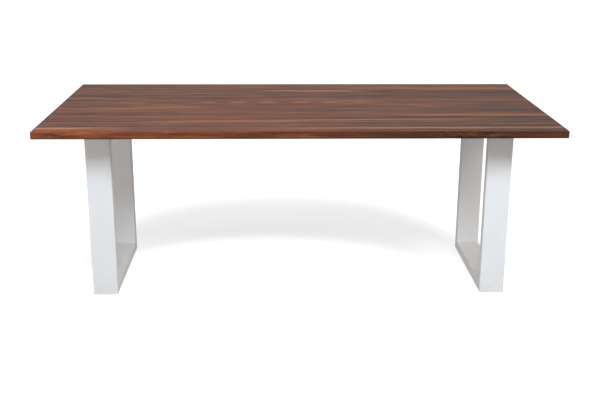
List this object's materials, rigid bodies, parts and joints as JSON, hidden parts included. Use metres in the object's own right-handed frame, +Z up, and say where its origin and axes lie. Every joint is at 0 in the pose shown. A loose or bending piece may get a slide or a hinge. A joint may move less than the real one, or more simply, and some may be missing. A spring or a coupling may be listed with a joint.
{
  "type": "dining table",
  "caption": "Rectangular solid walnut table with an edge-glued full-length stave top on white powder-coated rectangular-tube leg frames.",
  "frame": {"origin": "on the floor, under the middle of the top", "axes": "+X along the length of the top and the grain, +Y from the front edge to the back edge, +Z up"},
  "size_m": [2, 1, 0.74],
  "materials": {
    "walnut": "satin oil",
    "leg_powder_coat": "fine satin powder coat",
    "zinc_plated_steel": "zinc plated",
    "insert_brass": "machined",
    "glide_nylon": "matte nylon"
  },
  "bodies": {
    "root": {"top_stave_1": "walnut", "top_stave_2": "walnut", "top_stave_3": "walnut", "top_stave_4": "walnut", "top_stave_5": "walnut", "top_stave_6": "walnut", "top_stave_7": "walnut", "left_leg_front_upright": "leg_powder_coat", "left_leg_back_upright": "leg_powder_coat", "left_leg_foot_bar": "leg_powder_coat", "left_leg_mounting_plate": "leg_powder_coat", "left_leg_front_glide": "glide_nylon", "left_leg_back_glide": "glide_nylon", "left_leg_bolts": "zinc_plated_steel", "left_leg_washers": "zinc_plated_steel", "left_leg_inserts": "insert_brass", "right_leg_front_upright": "leg_powder_coat", "right_leg_back_upright": "leg_powder_coat", "right_leg_foot_bar": "leg_powder_coat", "right_leg_mounting_plate": "leg_powder_coat", "right_leg_front_glide": "glide_nylon", "right_leg_back_glide": "glide_nylon", "right_leg_bolts": "zinc_plated_steel", "right_leg_washers": "zinc_plated_steel", "right_leg_inserts": "insert_brass"}
  },
  "joints": []
}
